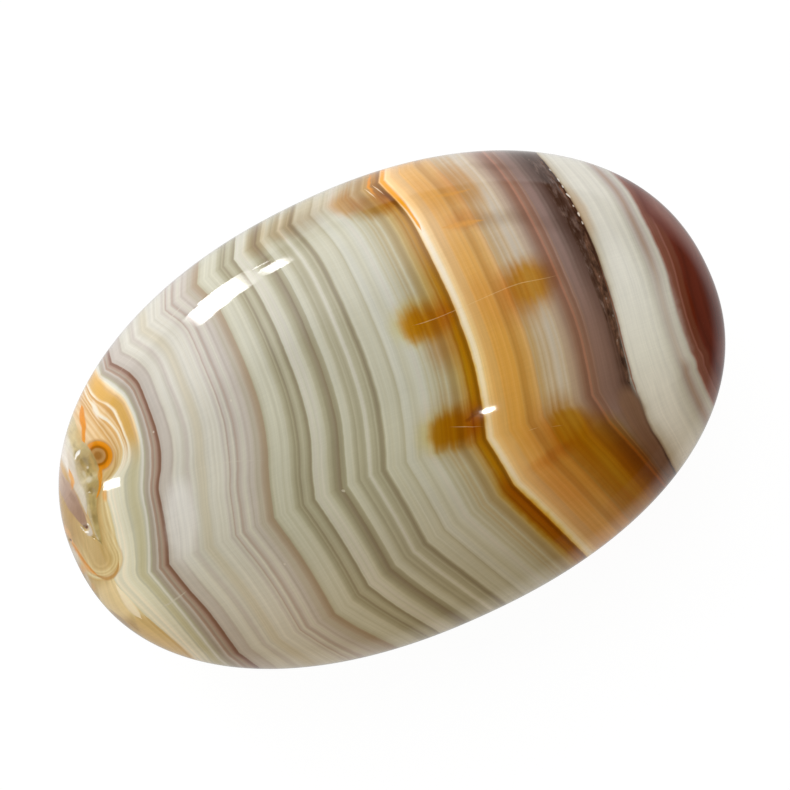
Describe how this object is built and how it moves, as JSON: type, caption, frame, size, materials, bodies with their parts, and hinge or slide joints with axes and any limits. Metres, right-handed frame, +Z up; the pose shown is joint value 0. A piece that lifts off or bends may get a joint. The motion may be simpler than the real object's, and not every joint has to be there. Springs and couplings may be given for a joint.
{
  "type": "banded calcite palm stone",
  "caption": "Polished oval palm stone of banded calcite, a smooth flattened pebble that lies on its broad face and fits a closed hand.",
  "frame": {"origin": "middle of the small resting flat on the underside", "axes": "+X along the stone's length, towards its broader, red end; +Y across its width; +Z up, away from the resting flat"},
  "size_m": [0.0696, 0.0452, 0.0256],
  "materials": {
    "polished_calcite": "polished to a gloss, slightly translucent, parallel bands in cream, sage, mauve, ochre, umber and red"
  },
  "bodies": {
    "root": {"palm_stone": "polished_calcite"}
  },
  "joints": []
}
